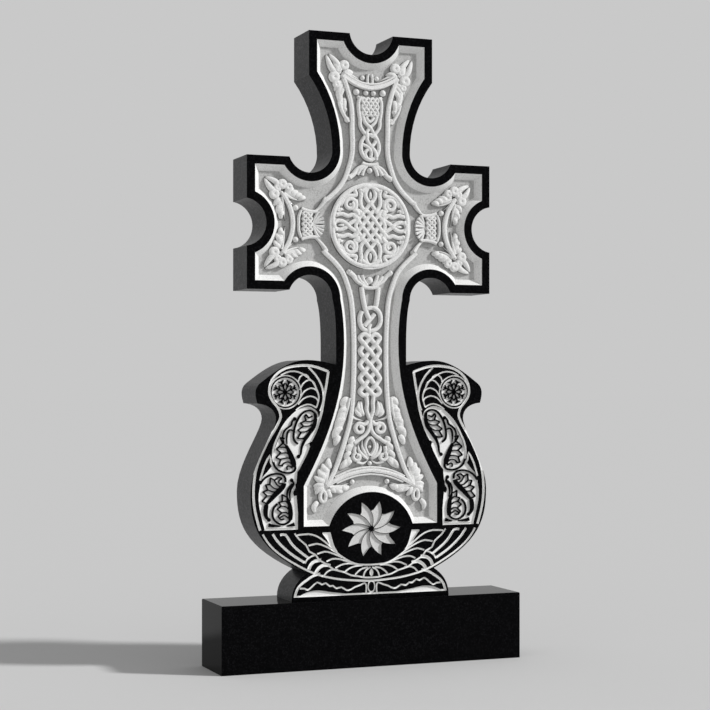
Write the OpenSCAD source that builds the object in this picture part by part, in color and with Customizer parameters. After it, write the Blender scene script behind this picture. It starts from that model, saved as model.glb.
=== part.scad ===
// Cross headstone: one carved granite slab standing on a granite plinth block.
// Millimetres, Z up, the origin is the middle of the plinth's underside and the
// carved face looks towards -Y. The slab's outline is a cross that rises from two
// bird-shaped wings, and every 2D shape below is drawn on its face in X and Z,
// with Z counted from the foot of the slab.

/* [Plinth] */
// Width of the plinth block
plinth_w = 715; // [500:5:900]
// Depth of the plinth block, front to back
plinth_d = 150; // [125:5:250]
// Height of the plinth block
plinth_h = 150; // [60:5:250]
// Bevel ground on the plinth's edges
plinth_bevel = 1.5; // [0.5:0.5:5]

/* [Slab] */
// Thickness of the slab
slab_t = 100; // [50:5:120]
// Height of the slab above the plinth
slab_h = 1261; // [1140:1:1700]

/* [Cross] */
// Span of the cross, from arm end to arm end
arm_span = 585; // [485:5:760]
// Height of the middle of the arms above the foot of the slab
arm_z = 833; // [760:1:930]
// Height of an arm's end
arm_h = 293; // [240:1:330]
// Width of the top arm's end
top_w = 297; // [245:1:380]
// Height of the square block at the end of the top arm
top_block = 99; // [60:1:130]
// Width of the neck above and below the arms
neck_w = 187; // [160:1:210]
// Narrowest width of the shaft
shaft_w = 169; // [140:1:185]
// Radius of the round hollows between the arms
hollow_r = 52; // [40:1:60]
// How far the centre of a hollow lies outside the arm's edge
hollow_out = 18.5; // [5:0.5:25]
// Radius of the notches in the three ends of the cross
notch_r = 52.5; // [35:0.5:60]
// How far a notch's centre lies outside the end
notch_out = 7.5; // [0:0.5:15]

/* [Wings] */
// Greatest half width of the wings, at the belly
belly_x = 284; // [240:1:340]
// Height of the belly
belly_z = 240; // [215:1:270]
// Height of the wings' crowns
crown_z = 532; // [480:1:580]
// Distance of the beak's tip from the middle
beak_x = 271; // [245:1:330]
// Height of the beak's tip
beak_z = 436; // [410:1:460]
// Half width at the nape under the beak
nape_x = 225.5; // [200:0.5:240]
// Half width of the waist above the foot
waist_x = 153; // [130:1:180]
// Height of the waist
waist_z = 61.5; // [50:0.5:75]
// Half width of the foot on the plinth
foot_x = 189.5; // [165:0.5:230]

/* [Sunk cross panel] */
// Width of the polished frame around the sunk cross
frame_w = 19.2; // [14:0.2:26]
// Depth of the sunk cross panel
panel_d = 16; // [8:0.5:22]
// Run of the panel's sloping side
slope_run = 13; // [4:0.5:18]
// Height of the panel's lower edge above the foot
panel_z = 164; // [155:1:180]
// Half width of the panel's lower part
skirt_x = 160.5; // [140:0.5:180]
// Height of the skirt's upright sides
skirt_h = 90; // [60:1:120]
// Depth of the raised carving under the polished face
relief_top = 4; // [2:0.5:7]
// Width of the ribs that frame the interlace
rib_w = 8.5; // [6:0.5:12]
// Outer radius of the round boss where the arms cross
boss_r = 97; // [80:1:105]
// Depth of the boss's ground under the polished face
boss_ground = 10; // [6:0.5:12]

/* [Cut pattern] */
// Depth of the cut pattern on the wings, bowl and foot
cut_d = 3.6; // [1.5:0.2:6]
// Width of the broad cut lines
broad_line = 5.6; // [4:0.2:7]
// Width of the fine cut lines
fine_line = 3.4; // [2:0.2:4.4]
// Width of the scroll lines
scroll_line = 4.4; // [3:0.2:5.4]
// Width of the cut lines between the feathers of the bowl
feather_line = 3.8; // [2.4:0.2:4.6]
// Outer radius of the ring around the bird's eye
eye_r = 38; // [30:1:40]
// Width of the cut ring around the eye
eye_ring = 2.8; // [2:0.2:4]
// Polished gap between the ring and the eye's disc
eye_gap = 3.6; // [2:0.2:6]

/* [Rosette] */
// Height of the rosette's centre above the foot
rosette_z = 155; // [145:1:165]
// Distance from the rosette's centre to the petal tips
petal_r = 70; // [50:1:76]
// Petals in the rosette
petals = 10; // [6:1:14]
// Height of the rosette as a share of its width
rosette_squash = 0.9; // [0.8:0.05:1]
// Wall left between neighbouring petals
petal_wall = 1.4; // [0.8:0.2:3]
// Radius of the polished disc that the rosette is cut in
disc_r = 105.5; // [95:0.5:112]

/* [Hidden] */
polished = "#1b1b1d";

arc_step = 5;                    // degrees between the points of an arc
bend = 10;                       // points in a curved stretch
embed = 1;                       // how far raised carving is rooted in the floor
weld = 0.01;                     // growth that joins crossing cut lines into one shape
proud = 1;                       // how far a cutting tool starts in front of the face
disc_z = 132;                    // centre of the polished disc
arm_x = arm_span / 2;
arm_top = arm_z + arm_h / 2;
arm_low = arm_z - arm_h / 2;
hollow_x = neck_w / 2 + hollow_r;
hollow_top_z = arm_top + hollow_out;
hollow_low_z = arm_low - hollow_out;
shoulder_z = crown_z - 10.5;     // where the wing's back meets the shaft

// ---- plane curves -------------------------------------------------------
function arc(c, r, a0, a1) =
    let (n = max(2, ceil(abs(a1 - a0) / arc_step)))
    [for (i = [0:n]) let (a = a0 + (a1 - a0) * i / n) c + r * [cos(a), sin(a)]];

function bezier(a, b, c, d, n = bend) =
    [for (i = [1:n]) let (t = i / n, s = 1 - t)
        s * s * s * a + 3 * s * s * t * b + 3 * s * t * t * c + t * t * t * d];

// A smooth curve through every point of p, with n steps between neighbours.
function through(p, n = 6) =
    let (last = len(p) - 1)
    [for (i = [0:last - 1])
        let (a = p[i], b = p[i + 1],
             ta = (b - p[max(i - 1, 0)]) / 2, tb = (p[min(i + 2, last)] - a) / 2)
        for (j = [0:i == last - 1 ? n : n - 1])
            let (t = j / n, t2 = t * t, t3 = t2 * t)
            (2 * t3 - 3 * t2 + 1) * a + (t3 - 2 * t2 + t) * ta
                + (3 * t2 - 2 * t3) * b + (t3 - t2) * tb];

function turned(p) = [for (i = [len(p) - 1:-1:0]) p[i]];
function mirrored(p) = [for (q = turned(p)) [-q[0], q[1]]];
function unit(v) = v / max(norm(v), 0.0001);
function side(p, i) =
    let (t = unit(p[min(i + 1, len(p) - 1)] - p[max(i - 1, 0)])) [-t[1], t[0]];
function beside(p, d) = [for (i = [0:len(p) - 1]) p[i] + d * side(p, i)];

// The closed clockwise outline p moved inwards by d, with mitred corners.
function inset(p, d) =
    let (n = len(p))
    [for (i = [0:n - 1])
        let (u = unit(p[i] - p[(i + n - 1) % n]), v = unit(p[(i + 1) % n] - p[i]),
             nu = [u[1], -u[0]], nv = [v[1], -v[0]])
        p[i] + d * (nu + nv) / (1 + nu * nv)];

// ---- outline of the slab, right half from the top to the foot ------------
function cross_half(f = 0) =
    // f moves the edge inwards, which gives the sunk panel the same form
    let (nr = notch_r + f, hr = hollow_r + f,
         nz = slab_h + notch_out, nx = arm_x + notch_out,
         top_dx = sqrt(nr * nr - pow(notch_out + f, 2)),
         top_a = acos((notch_out + f) / nr),
         hollow_a = asin((hollow_out + f) / hr),
         neck = neck_w / 2 - f, block_x = top_w / 2 - f,
         block_z = slab_h - top_block + f * 0.45,
         dx = block_x - neck, dz = block_z - hollow_top_z,
         sweep_r = (dx * dx + dz * dz) / (2 * dx), sweep_a = asin(dz / sweep_r))
    concat(
        arc([0, nz], nr, -90, -90 + top_a),
        [[block_x, slab_h - f]],
        arc([neck + sweep_r, hollow_top_z], sweep_r, 180 - sweep_a, 180),
        arc([hollow_x, hollow_top_z], hr, 180 + arc_step, 360 - hollow_a),
        [[arm_x - f, arm_top - f]],
        arc([nx, arm_z], nr, 180 - top_a, 180 + top_a),
        [[arm_x - f, arm_low + f]],
        arc([hollow_x, hollow_low_z], hr, hollow_a, 180));

function wing_half() =
    let (neck = [neck_w / 2, hollow_low_z], shaft = [shaft_w / 2, shoulder_z + 39],
         shoulder = [shaft_w / 2, shoulder_z], crown = [shaft_w / 2 + 68, crown_z],
         brow = [beak_x - 9, crown_z - 51], beak = [beak_x - 2.5, beak_z],
         nape = [nape_x, beak_z - 35], belly = [belly_x, belly_z],
         waist = [waist_x, waist_z])
    concat(
        bezier(neck, neck - [5.5, 19], shaft + [0, 60], shaft),
        [shoulder],
        bezier(shoulder, shoulder + [26, 7], crown - [22, 0], crown, 5),
        bezier(crown, crown + [44, 0], brow + [-30, 22], brow),
        bezier(brow, brow + [14, -11], beak + [6, 19], beak, 6),
        bezier(beak, beak - [26, 2], nape + [0, 21], nape, 8),
        bezier(nape, nape - [0, 26], belly + [0, 60], belly),
        bezier(belly, belly - [0, 72], [belly_x - 17, waist_z + 56], waist, 14),
        bezier(waist, waist + [20, -13], [foot_x, 30], [foot_x, 0], 8));

slab_outline = let (h = concat(cross_half(), wing_half())) concat(h, mirrored(h));

// ---- outline of the sunk cross panel -------------------------------------
panel_outline =
    let (x = shaft_w / 2 - frame_w, knee = [skirt_x, panel_z + skirt_h],
         neck = [neck_w / 2 - frame_w, hollow_low_z], shaft = [x, shoulder_z + 48],
         disc_a = asin((panel_z - disc_z) / disc_r),
         h = concat(
             cross_half(frame_w),
             bezier(neck, neck - [4, 19], shaft + [0, 45], shaft, 8),
             bezier(shaft, shaft - [0, 120], knee + [-55, 100], knee, 14),
             [[skirt_x, panel_z]],
             arc([0, disc_z], disc_r, disc_a, 90)))
    concat(h, [for (i = [1:len(h) - 2]) mirrored(h)[i]]);

// ---- solids on the face --------------------------------------------------
// Fills a flat shape from depth a to depth b under the polished face.
module between(a, b) {
    translate([0, b - slab_t / 2, 0]) rotate([90, 0, 0]) linear_extrude(b - a) children();
}

module both_sides() {
    children();
    mirror([1, 0]) children();
}

module band(p, w) {
    polygon(concat(beside(p, w / 2), turned(beside(p, -w / 2))));
}

// A leaf-shaped cut from a to b, w wide in the middle and bowed sideways.
module lobe(a, b, w, bow = 0, n = 7) {
    d = b - a;
    across = unit([-d[1], d[0]]);
    mid = [for (i = [0:n]) let (t = i / n) a + t * d + 4 * bow * t * (1 - t) * across];
    polygon(concat(
        [for (i = [0:n]) mid[i] + across * w / 2 * pow(sin(180 * i / n), 0.7)],
        [for (i = [n - 1:-1:1]) mid[i] - across * w / 2 * pow(sin(180 * i / n), 0.7)]));
}

// The sloping side of the sunk panel: a ring of wedge section, rooted in the slab.
module panel_slope() {
    lip = 0.2;
    rows = [[0, lip], [slope_run, panel_d], [-embed, panel_d + embed]];
    n = len(panel_outline);
    m = len(rows);
    rings = [for (r = rows) [for (q = inset(panel_outline, r[0])) [q[0], r[1] - slab_t / 2, q[1]]]];
    polyhedron(
        points = [for (r = rings) each r],
        faces = [for (k = [0:m - 1]) for (i = [0:n - 1])
            let (j = (i + 1) % n, l = (k + 1) % m)
            [k * n + i, k * n + j, l * n + j, l * n + i]]);
}

// ---- cut pattern on one wing ---------------------------------------------
// The lines are drawn for a slab of these sizes, and fitted to the real one.
art_x = 284;                     // half width at the belly
art_z = 532;                     // height of the crowns
art_arm_x = 292.5;               // half span of the arms
art_arm_z = 833;                 // height of the arms' middle
art_h = 1261;                    // height of the slab
wing_fit = [belly_x / art_x, crown_z / art_z];
eye = [203.5, 461];

border_line = [[262, 158.5], [270, 185], [276, 215], [277.3, 245], [275, 272], [268, 303], [246, 350],
    [228, 379], [216.5, 400], [215, 412], [221, 427], [233, 441], [240, 455], [240.5, 470],
    [235, 487], [221, 503], [202, 514], [178, 519], [152, 520], [128, 515.5], [103, 506.5]];
back_line = [[103, 507], [107, 480], [113, 450], [118, 420], [125, 396], [133, 374], [145, 352]];
hind_line = [[150, 516], [134, 500], [121, 480], [115, 460], [115, 440], [122, 419]];
crest_line = [[214, 498], [200, 505], [183, 507], [167, 503], [153, 494], [141, 485], [132, 470],
    [126, 455], [126, 443], [131, 427]];
feathers = [
    [[174, 483], [170, 494], [160, 500], [151, 496], [147, 487]],
    [[170, 466], [162, 480], [149, 488], [137, 482], [132, 468]],
    [[168, 450], [159, 463], [144, 470], [131, 465], [126, 454]],
    [[174, 434], [161, 447], [145, 452], [131, 447], [127, 440]],
    [[179, 421], [168, 429], [152, 434], [139, 431], [131, 426]]];
scroll_lines = [
    [[127, 404], [131, 416], [140, 423.5], [151, 427], [165, 424.5], [180, 416.5], [195, 403],
        [208, 387], [220, 365], [229, 345], [232.5, 327], [231, 311], [224, 298], [212, 290],
        [199, 288], [186, 293], [178, 303], [177, 317], [185, 337], [192, 355], [196, 370], [193, 384]],
    [[127, 405], [127, 394], [132, 378], [139, 363], [148, 351], [158, 348]],
    [[149, 346], [153, 335], [161, 318], [171, 301], [178, 285], [180, 262], [184, 256]],
    [[249, 160], [256, 185], [262, 213], [263, 238], [257, 262], [244, 278], [228, 284], [212, 280],
        [202, 268], [201, 256], [208, 242], [222, 228], [236, 215], [241, 202], [238, 188],
        [228, 177], [214, 169.5], [200, 170], [188, 179], [182, 195], [181, 213], [186, 233],
        [190, 245], [184, 256], [183, 266], [191, 273]],
    [[262, 268], [253, 298], [239, 323], [237, 306], [226, 292], [206, 284], [190, 289]],
    [[160, 345], [168, 330], [171, 316], [177, 313]]];
module wing_cuts() {
    scale(wing_fit) {
        band(through(border_line, 2), broad_line);
        band(through(back_line, 2), broad_line);
        for (p = [hind_line, each scroll_lines]) band(through(p, 2), scroll_line);
        for (p = [crest_line, each feathers]) band(through(p, 2), fine_line);
        band([[252, 160.5], [175, 160.5]], scroll_line);
        band([[177, 160], [176.5, 195], [180, 233]], scroll_line);
        translate(eye) {
            difference() {
                circle(r = eye_r, $fn = 60);
                circle(r = eye_r - eye_ring, $fn = 60);
            }
            circle(r = eye_r - eye_ring - eye_gap, $fn = 60);
        }
    }
}

// ---- cut pattern on the bowl and the foot ---------------------------------
bowl_line = [[256, 150], [246, 134], [230, 116], [205, 97], [175, 79], [150, 66], [125, 56],
    [100, 49.5], [70, 44], [35, 40.5], [0, 38.5]];
slats = [
    [[233, 150], [222, 134], [205, 117], [185, 101], [159, 85]],
    [[216, 147.5], [203, 147.5], [192, 131], [177, 115], [149, 94]]];
wave_line = [[182, 150], [172, 137], [155, 123], [148, 109], [133, 101], [124, 89], [106, 79],
    [90, 67], [66, 60.5], [50, 53], [33, 50], [16, 46.5], [0, 46]];
collar_line = [[116, 149], [105, 135], [95, 118], [84, 105], [68, 93], [50, 82.5], [30, 76], [0, 74.5]];
scales = [
    [[176, 146], [150, 147.5], [130, 142], [112, 130], [95, 116]],
    [[150, 122], [130, 125.5], [112, 120], [96, 112], [85, 105]],
    [[129, 103], [112, 107.5], [96, 104], [80, 98], [70, 93]],
    [[107, 85], [95, 90.5], [78, 90], [60, 85], [50, 82]],
    [[86, 70], [72, 77], [55, 79.5], [35, 77]],
    [[64, 60], [53, 68], [38, 73], [20, 74]],
    [[39, 53], [31, 61], [21, 67], [8, 69]],
    [[19, 48], [17, 56], [11, 64], [2, 69]]];
under_scales = [
    [[158, 83], [153, 91], [143, 98], [132, 101]],
    [[149, 69], [145, 79], [135, 87], [120, 89]],
    [[133, 61], [126, 71], [113, 78], [98, 76]],
    [[113, 54], [106, 62], [95, 67], [80, 66]]];
foot_line = [[181, 11], [177, 24], [168, 36], [152, 47], [138, 55], [122, 59]];
branch_line = [[170, 28], [159, 27.5], [151, 24], [140, 32], [129, 40], [118, 35], [109, 37.5],
    [100, 30.5], [92, 31], [84, 25], [72, 27], [60, 20], [49, 21], [40, 26], [28, 29.5],
    [16, 34], [12, 26], [13, 12]];

wedge_out = [[117, 150], [104, 135], [94, 118], [80, 102]];
wedge_back = [[82, 108], [90, 122], [98, 150]];
drop = [[0, 48], [0, 66]];
drop_w = 9;
ground_line = [[184, 10.5], [-1, 10.5]];
ground_leaf = [[168, 13], [150, 20], [125, 22], [95, 17], [60, 12]];
ground_leaf_z = 10;
ring_z = 26;
ring_r = [15, 10.5];
ring_squash = 0.62;

module bowl_cuts() {
    scale(wing_fit) {
        band(through(bowl_line, 2), scroll_line);
        for (p = slats) band(through(p, 2), broad_line);
        for (p = [wave_line, collar_line, branch_line, ground_line]) band(through(p, 2), feather_line);
        for (p = scales) band(through(p, 2), feather_line);
        for (k = [0:3]) band(through(under_scales[k], 2), k % 3 == 0 ? feather_line : 2 * feather_line);
        polygon(concat(through(wedge_out, 4), through(wedge_back, 4)));
        lobe(drop[0], drop[1], drop_w);
        band(through(foot_line, 2), broad_line);
        polygon(concat([[ground_leaf[0][0], ground_leaf_z]], through(ground_leaf, 4),
            [[ground_leaf[4][0], ground_leaf_z]]));
        translate([0, ring_z]) scale([ring_squash, 1]) difference() {
            circle(r = ring_r[0], $fn = 48);
            circle(r = ring_r[1], $fn = 48);
        }
    }
}

// ---- rosette --------------------------------------------------------------
petal_belly = [0.5, 0.37];       // pulls the edge sideways, as shares of petal_r
petal_tip = [1, -0.03];

// The swept edge of a petal, from one share of its length to another.
function petal_edge(from, to, n = 8) =
    [for (i = [0:n]) let (t = from + (to - from) * i / n)
        petal_r * (2 * t * (1 - t) * petal_belly + t * t * petal_tip)];

module petal() {
    pitch = 360 / petals;
    own = petal_edge(0.07, 1);
    inner = petal_edge(0.6, 0.12, 6);
    next = [for (q = beside(inner, -petal_wall))
        [q[0] * cos(pitch) + q[1] * sin(pitch), q[1] * cos(pitch) - q[0] * sin(pitch)]];
    polygon(concat(own, [0.3 * own[8] + 0.62 * next[0]], next));
}

module rosette() {
    translate([0, rosette_z]) scale([1, rosette_squash]) mirror([1, 0])
        for (k = [0:petals - 1]) rotate(k * 360 / petals) petal();
}

// ---- raised carving in the sunk panel --------------------------------------
// Middle lines of the ribs, on the right half.
shaft_rib = [[102, 256], [86, 284], [72, 318], [58, 360], [47, 400], [42, 445], [39, 500], [38.5, 560],
    [39.5, 600], [42, 640], [46, 672], [54, 700], [66, 728], [84, 750], [104, 768], [112, 776]];
neck_rib = [[112, 888], [106, 888], [90, 901], [74, 917], [60, 938], [51, 962], [44.5, 985], [42, 1010],
    [43, 1050], [43.5, 1085], [47, 1110], [55, 1138], [64, 1162]];
arch_rib = [[0, 285.5], [26, 283], [52, 277], [78, 267], [104, 253]];
garland_rib = [[0, 1143], [22, 1147], [44, 1155], [66, 1167]];
tie_rib = [[183, 833], [185.5, 853], [193, 875], [207, 898]];

module panel_carving() {
    between(relief_top, panel_d + embed) {
        both_sides() {
            for (p = [shaft_rib, arch_rib]) band(through(p, 2), rib_w);
            translate([0, arm_z - art_arm_z]) band(through(neck_rib, 2), rib_w);
            translate([0, slab_h - art_h]) band(through(garland_rib, 2), rib_w);
            translate([arm_x - art_arm_x, arm_z])
                for (s = [0, 1]) mirror([0, s]) translate([0, -art_arm_z]) band(through(tie_rib, 2), rib_w);
        }
        translate([0, arm_z]) difference() {
            circle(r = boss_r, $fn = 96);
            circle(r = boss_r - rib_w, $fn = 96);
        }
    }
    between(boss_ground, panel_d + embed) translate([0, arm_z]) circle(r = boss_r - rib_w / 2, $fn = 96);
}

// ---- the two pieces ---------------------------------------------------------
module cut() {
    between(-proud, cut_d) offset(delta = weld) both_sides() children();
}

module slab() {
    color(polished) translate([0, 0, plinth_h]) {
        difference() {
            between(0, slab_t) polygon(slab_outline);
            between(-proud, panel_d) polygon(panel_outline);
            cut() wing_cuts();
            cut() bowl_cuts();
            between(-proud, cut_d) rosette();
        }
        panel_slope();
        panel_carving();
    }
}

module plinth() {
    color(polished) hull() {
        for (s = [0, 1]) translate([-plinth_w / 2 + s * plinth_bevel, -plinth_d / 2 + s * plinth_bevel, 0])
            cube([plinth_w - 2 * s * plinth_bevel, plinth_d - 2 * s * plinth_bevel,
                  plinth_h - (1 - s) * plinth_bevel]);
    }
}

slab();
plinth();
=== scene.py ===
# %% [markdown]
# # A cross headstone in carved black granite
# The real thing is two blocks of gabbro, the fine-grained dark stone that monument makers call
# black granite: a low plinth, and a slab sawn to the outline of a cross that rises between two
# birds. Both are polished until they are black, and everything pale is stone that a tool has
# broken through the polish. The construction model already has the outline, the sunk cross and the
# lines cut on the wings. This script adds what a carver does last: the interlace and the leaves in
# the sunk cross, the leaf cuts on the wings, and the finishes of the stone.

# %% Load the frame
import math

import bmesh
import bpy
from mathutils import Matrix, Vector


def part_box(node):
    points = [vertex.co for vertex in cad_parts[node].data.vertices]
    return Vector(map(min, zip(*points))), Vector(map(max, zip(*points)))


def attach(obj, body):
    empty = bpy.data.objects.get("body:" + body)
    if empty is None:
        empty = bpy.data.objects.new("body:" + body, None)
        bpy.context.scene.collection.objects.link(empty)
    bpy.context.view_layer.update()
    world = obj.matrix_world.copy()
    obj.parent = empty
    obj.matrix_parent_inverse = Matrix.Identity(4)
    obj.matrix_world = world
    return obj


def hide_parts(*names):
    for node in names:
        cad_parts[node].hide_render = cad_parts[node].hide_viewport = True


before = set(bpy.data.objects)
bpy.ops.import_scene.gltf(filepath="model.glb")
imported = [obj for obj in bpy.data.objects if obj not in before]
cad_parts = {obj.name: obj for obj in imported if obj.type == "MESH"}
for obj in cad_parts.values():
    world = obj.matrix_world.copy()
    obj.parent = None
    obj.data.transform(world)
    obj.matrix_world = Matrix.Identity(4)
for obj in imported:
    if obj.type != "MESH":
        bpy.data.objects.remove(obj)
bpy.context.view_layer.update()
print("nodes:", sorted(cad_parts))

# %% [markdown]
# ## Where the carving goes
# Everything is drawn on the slab's face as a mason would set it out: x to the right, z up from
# the ground, in millimetres, and a height above the ground that the carving stands on. These few
# sizes say where the face is and how deep each ground lies under it.

# %% Sizes of the slab
MM = 0.001
slab_low, slab_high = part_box("slab")
face_y = slab_low.y                      # the polished face looks towards -Y
foot_z = slab_low.z / MM                 # the slab stands on the plinth
panel_depth = 16.0                       # the sunk cross
boss_depth = 10.0                        # the round boss where the arms cross
cut_depth = 3.6                          # the pattern on the wings
boss_z = foot_z + 833.0
print("slab from", [round(v, 4) for v in slab_low], "to", [round(v, 4) for v in slab_high])

# %% [markdown]
# ## Finishes
# A polished face of this stone is nearly black because a mirror-smooth surface throws no light
# back except its reflection. Where the surface is broken, each tiny crystal face scatters light
# and the same stone turns pale grey. Most tones here are this one stone worked in another way,
# but the darker sunk ground, the darker petals, the paler cut lines and the dark foot of the
# relief are painted shade and painted light.

# %% Colour and node helpers
def srgb(code):
    """A hex colour as the linear values that Blender works in."""
    parts = [int(code[i:i + 2], 16) / 255 for i in (1, 3, 5)]
    return [c / 12.92 if c <= 0.04045 else ((c + 0.055) / 1.055) ** 2.4 for c in parts] + [1.0]


def add_node(tree, kind, inputs=None, **settings):
    """Adds a node, sets its settings, and fills or links its inputs."""
    node = tree.nodes.new(kind)
    for key, value in settings.items():
        setattr(node, key, value)
    for key, value in (inputs or {}).items():
        if isinstance(value, bpy.types.NodeSocket):
            tree.links.new(value, node.inputs[key])
        else:
            node.inputs[key].default_value = value
    return node


def per_metre(size_mm):
    """The Scale of a noise whose features are this many millimetres across."""
    return 1000.0 / size_mm


# %% [markdown]
# ### Polished and honed gabbro
# Gabbro is a mass of dark crystals one to three millimetres across, with a paler fleck here and
# there. On the face and the plinth the stone is polished to a mirror, and the crystals show only
# as a faint mottle inside the black. The sawn sides and the back are honed: flat and smooth, but
# with a satin surface that scatters some light, so they look dark grey beside the black face.
# One function makes both, from the tones of the crystals, the roughness and the reflection.

# %% Polished and honed gabbro
def make_smooth_gabbro(name, dark, middle, fleck, roughness, reflection):
    material = bpy.data.materials.new(name)
    material.use_nodes = True
    tree = material.node_tree
    shader = tree.nodes["Principled BSDF"]
    place = add_node(tree, "ShaderNodeTexCoord").outputs["Object"]
    crystals = add_node(tree, "ShaderNodeTexVoronoi", {"Vector": place, "Scale": per_metre(2.6)})
    mottle = add_node(tree, "ShaderNodeTexNoise",
                      {"Vector": place, "Scale": per_metre(9.0), "Detail": 3.0, "Roughness": 0.6})
    tone = add_node(tree, "ShaderNodeValToRGB", {"Fac": crystals.outputs["Color"]})
    tone.color_ramp.elements[0].position = 0.25
    tone.color_ramp.elements[0].color = srgb(dark)
    tone.color_ramp.elements[1].position = 0.85
    tone.color_ramp.elements[1].color = srgb(fleck)
    tone.color_ramp.elements.new(0.66).color = srgb(middle)
    tree.links.new(tone.outputs["Color"], shader.inputs["Base Color"])
    gloss = add_node(tree, "ShaderNodeMapRange",
                     {"Value": mottle.outputs["Fac"], "From Min": 0.3, "From Max": 0.7,
                      "To Min": roughness[0], "To Max": roughness[1]})
    tree.links.new(gloss.outputs["Result"], shader.inputs["Roughness"])
    shader.inputs["Specular IOR Level"].default_value = reflection
    return material


polished = make_smooth_gabbro("polished_black_gabbro", "#030304", "#070708", "#121214", (0.08, 0.13), 0.035)
honed = make_smooth_gabbro("honed_dark_gabbro", "#18181a", "#272729", "#48484a", (0.30, 0.40), 0.14)
print("made", polished.name, "and", honed.name)

# %% [markdown]
# ### Milled and pecked gabbro
# The carving is left as the diamond tools leave it: matt, light grey, a little darker where a
# dark crystal shows, with a fine tooth that catches the light. Rough stone has almost no sheen.
# The sunk ground is pecked with a point rather than milled, so it is coarser, and its tones are
# made darker as painted shade of the recess. The wide petals of the rosette are darker as painted
# shade and the cut lines paler as painted light. One function makes them all, from the two tones
# of the grain and the size of its tooth.
# Relief has a third tone, a painted shade: the stone darkens towards the ground, which draws a
# dark line round the foot of every strand.

# %% Milled and pecked gabbro
def make_broken_gabbro(name, dark, pale, grain_mm, tooth_mm, painted_foot_shade=None):
    material = bpy.data.materials.new(name)
    material.use_nodes = True
    tree = material.node_tree
    shader = tree.nodes["Principled BSDF"]
    place = add_node(tree, "ShaderNodeTexCoord").outputs["Object"]
    grains = add_node(tree, "ShaderNodeTexNoise",
                      {"Vector": place, "Scale": per_metre(grain_mm), "Detail": 3.0, "Roughness": 0.65})
    clouds = add_node(tree, "ShaderNodeTexNoise",
                      {"Vector": place, "Scale": per_metre(40.0), "Detail": 2.0})
    tone = add_node(tree, "ShaderNodeValToRGB", {"Fac": grains.outputs["Fac"]})
    tone.color_ramp.elements[0].position = 0.28
    tone.color_ramp.elements[0].color = srgb(dark)
    tone.color_ramp.elements[1].position = 0.52
    tone.color_ramp.elements[1].color = srgb(pale)
    shade = add_node(tree, "ShaderNodeMapRange",
                     {"Value": clouds.outputs["Fac"], "From Min": 0.3, "From Max": 0.7,
                      "To Min": 0.0, "To Max": 0.12})
    worn = add_node(tree, "ShaderNodeMixRGB", {"Fac": shade.outputs["Result"],
                                               "Color1": tone.outputs["Color"], "Color2": srgb(dark)})
    colour = worn.outputs["Color"]
    # Painted shade: towards the ground the colour turns to #4c4c4b, the shade at the foot of each strand.
    if painted_foot_shade:
        ground, rise = painted_foot_shade
        across = add_node(tree, "ShaderNodeSeparateXYZ", {"Vector": place}).outputs["Y"]
        clear_of_foot_shade = add_node(tree, "ShaderNodeMapRange",
                         {"Value": across, "From Min": face_y + ground * MM,
                          "From Max": face_y + (ground - rise) * MM}, interpolation_type="SMOOTHSTEP")
        with_painted_foot_shade = add_node(tree, "ShaderNodeMixRGB",
                            {"Fac": clear_of_foot_shade.outputs["Result"], "Color1": srgb("#4c4c4b"), "Color2": colour})
        colour = with_painted_foot_shade.outputs["Color"]
    tree.links.new(colour, shader.inputs["Base Color"])
    bump = add_node(tree, "ShaderNodeBump",
                    {"Height": grains.outputs["Fac"], "Strength": 0.4, "Distance": tooth_mm * MM})
    tree.links.new(bump.outputs["Normal"], shader.inputs["Normal"])
    shader.inputs["Roughness"].default_value = 0.9
    shader.inputs["Specular IOR Level"].default_value = 0.15
    return material


milled = make_broken_gabbro("milled_grey_gabbro", "#c6c6c5", "#efefee", 2.4, 0.6)
# Painted light: the shallow cuts are paler than the milled stone, against the shade in their grooves.
line_cut_painted_light = make_broken_gabbro("line_cut_gabbro_painted_light", "#e0e0df", "#f8f8f7", 2.4, 0.3)
# Painted shade: the petals' tones are darker for the shade in their pockets.
petal_painted_shade = make_broken_gabbro("petal_gabbro_painted_shade", "#bcbcbb", "#dadad9", 2.4, 0.5)
# Painted shade: the sunk ground is pecked, and its tones are made darker for the shade in the recess.
pecked_painted_shade = make_broken_gabbro("pecked_gabbro_painted_shade", "#9a9a99", "#c2c2c1", 3.2, 1.2)
# Relief on the panel and on the boss, with painted shade at the foot of each strand.
carved_panel_painted_shade = make_broken_gabbro("carved_panel_gabbro_painted_shade", "#bcbcbb", "#ebebea", 2.4, 0.7,
                                  painted_foot_shade=(panel_depth, 7.0))
carved_boss_painted_shade = make_broken_gabbro("carved_boss_gabbro_painted_shade", "#bcbcbb", "#ebebea", 2.4, 0.7,
                                 painted_foot_shade=(boss_depth, 4.8))
print("made", [m.name for m in (milled, line_cut_painted_light, petal_painted_shade, pecked_painted_shade, carved_panel_painted_shade, carved_boss_painted_shade)])

# %% [markdown]
# ## Strokes
# Nearly all the carving is bands: strands that weave, ribs, stems, leaf blades. A band is a curve
# drawn on the face with a section swept along it, so a Blender curve with a bevel object is the
# natural tool. A strand has steep sides that lean out a little towards the ground, as a tapered
# cutter leaves them, and a rounded top. A blade is the same section made smaller towards its tip.

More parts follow.
